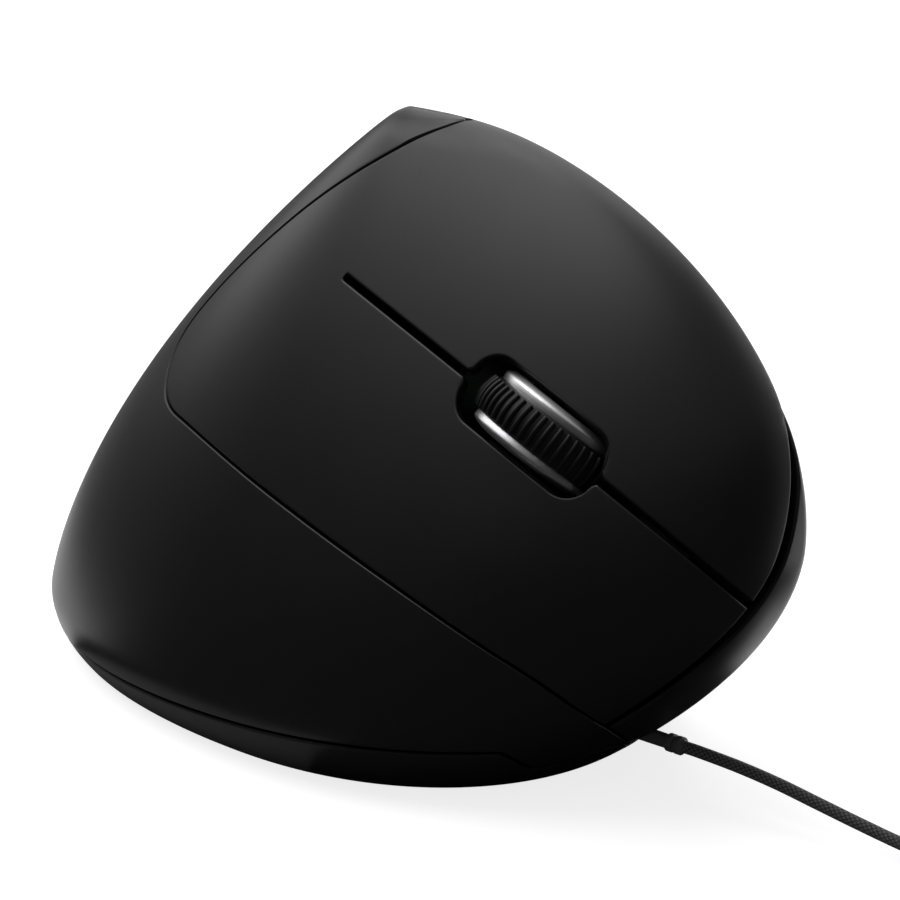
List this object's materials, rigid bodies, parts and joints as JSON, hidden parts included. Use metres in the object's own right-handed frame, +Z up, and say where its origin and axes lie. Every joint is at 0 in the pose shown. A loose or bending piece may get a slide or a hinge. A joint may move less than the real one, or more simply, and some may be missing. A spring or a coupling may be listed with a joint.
{
  "type": "vertical ergonomic mouse",
  "caption": "Corded right-handed vertical computer mouse: a fin-shaped shell with finger buttons, a scroll wheel between them, thumb buttons and a sensor in its base.",
  "frame": {"origin": "on the desk under the middle of the body, the cord left out", "axes": "+Y forward to the nose and cord outlet, +X to the finger side, +Z up"},
  "size_m": [0.0744, 0.1907, 0.077],
  "materials": {
    "soft_black": "soft-touch matte moulding",
    "base_black": "fine-grained moulding",
    "foot_slide": "smooth low-friction pad",
    "tyre_rubber": "ribbed matte rubber",
    "rim_chrome": "bright plated trim",
    "inner_grey": "plain moulding",
    "board_green": "lacquered circuit board",
    "screw_steel": "zinc-plated",
    "plug_steel": "nickel-plated",
    "switch_black": "moulded resin",
    "plunger_white": "natural nylon",
    "encoder_brown": "moulded housing",
    "lens_clear": "clear moulding",
    "led_red": "tinted resin",
    "can_blue": "sleeved can",
    "cord_black": "matte flexible jacket",
    "tie_black": "woven strap",
    "contact_gold": "gold-plated"
  },
  "bodies": {
    "mouse_body": {"finger_shell": "soft_black", "thumb_shell": "soft_black", "button_panel": "soft_black", "base_shell": "base_black", "glide_feet": "foot_slide", "inner_frame": "inner_grey", "button_board": "board_green", "main_board": "board_green", "thumb_board": "board_green", "case_screws": "screw_steel", "board_screws": "screw_steel", "frame_screws": "screw_steel", "plug_shell": "plug_steel", "clock_crystal": "plug_steel", "index_switch": "switch_black", "middle_switch": "switch_black", "wheel_switch": "switch_black", "forward_switch": "switch_black", "back_switch": "switch_black", "sensor_chip": "switch_black", "controller_chip": "switch_black", "led_clip": "switch_black", "cord_socket": "plunger_white", "cord_connector": "plunger_white", "plug_tongue": "plunger_white", "sensor_lens": "lens_clear", "sensor_led": "led_red", "capacitors": "can_blue", "cord": "cord_black", "cord_coil": "cord_black", "cord_tail": "cord_black", "inner_lead": "cord_black", "strain_relief": "cord_black", "plug_grip": "cord_black", "coil_tie": "tie_black", "plug_contacts": "contact_gold"},
    "index_key": {"index_button": "soft_black"},
    "middle_key": {"middle_button": "soft_black"},
    "wheel_carriage": {"wheel_cradle": "inner_grey", "wheel_encoder": "encoder_brown"},
    "scroll_wheel": {"wheel_hub": "inner_grey", "wheel_tyre": "tyre_rubber", "upper_rim": "rim_chrome", "lower_rim": "rim_chrome"},
    "index_push": {"index_plunger": "plunger_white"},
    "middle_push": {"middle_plunger": "plunger_white"},
    "wheel_push": {"wheel_plunger": "plunger_white"},
    "forward_key": {"forward_button": "soft_black"},
    "back_key": {"back_button": "soft_black"},
    "forward_push": {"forward_plunger": "plunger_white"},
    "back_push": {"back_plunger": "plunger_white"}
  },
  "joints": [
    {"name": "index_press", "type": "hinge", "parent": "mouse_body", "child": "index_key", "pos_m": [0.00675, -0.00417, 0.05861], "axis": [-0.547, 0.3271, 0.7706], "range_deg": [0, 0.7], "stiffness_Nm_per_rad": 3},
    {"name": "middle_press", "type": "hinge", "parent": "mouse_body", "child": "middle_key", "pos_m": [0.00675, -0.00417, 0.05861], "axis": [-0.547, 0.3271, 0.7706], "range_deg": [0, 0.7], "stiffness_Nm_per_rad": 3},
    {"name": "wheel_press", "type": "slide", "parent": "mouse_body", "child": "wheel_carriage", "axis": [-0.8367, -0.1853, -0.5153], "range_m": [0, 0.0006], "stiffness_N_per_m": 1500},
    {"name": "wheel_spin", "type": "hinge", "parent": "wheel_carriage", "child": "scroll_wheel", "pos_m": [0.00502, 0.02905, 0.04327], "axis": [0.547, -0.3271, -0.7706], "continuous": true},
    {"name": "index_plunger_slide", "type": "slide", "parent": "mouse_body", "child": "index_push", "axis": [-0.8367, -0.1853, -0.5153], "range_m": [0, 0.00065]},
    {"name": "middle_plunger_slide", "type": "slide", "parent": "mouse_body", "child": "middle_push", "axis": [-0.8367, -0.1853, -0.5153], "range_m": [0, 0.00065]},
    {"name": "wheel_plunger_slide", "type": "slide", "parent": "mouse_body", "child": "wheel_push", "axis": [-0.8367, -0.1853, -0.5153], "range_m": [0, 0.0006]},
    {"name": "forward_press", "type": "slide", "parent": "mouse_body", "child": "forward_key", "axis": [0.9863, 0.0033, -0.165], "range_m": [0, 0.0005], "stiffness_N_per_m": 900},
    {"name": "back_press", "type": "slide", "parent": "mouse_body", "child": "back_key", "axis": [0.9863, 0.0033, -0.165], "range_m": [0, 0.0005], "stiffness_N_per_m": 900},
    {"name": "forward_plunger_slide", "type": "slide", "parent": "mouse_body", "child": "forward_push", "axis": [0.9863, 0.0033, -0.165], "range_m": [0, 0.0005]},
    {"name": "back_plunger_slide", "type": "slide", "parent": "mouse_body", "child": "back_push", "axis": [0.9863, 0.0033, -0.165], "range_m": [0, 0.0005]}
  ],
  "couplings": [
    {"joint": "index_plunger_slide", "follows": "index_press", "m_per_rad": 0.0497},
    {"joint": "middle_plunger_slide", "follows": "middle_press", "m_per_rad": 0.0497},
    {"joint": "wheel_plunger_slide", "follows": "wheel_press", "ratio": 1},
    {"joint": "forward_plunger_slide", "follows": "forward_press", "ratio": 1},
    {"joint": "back_plunger_slide", "follows": "back_press", "ratio": 1}
  ]
}
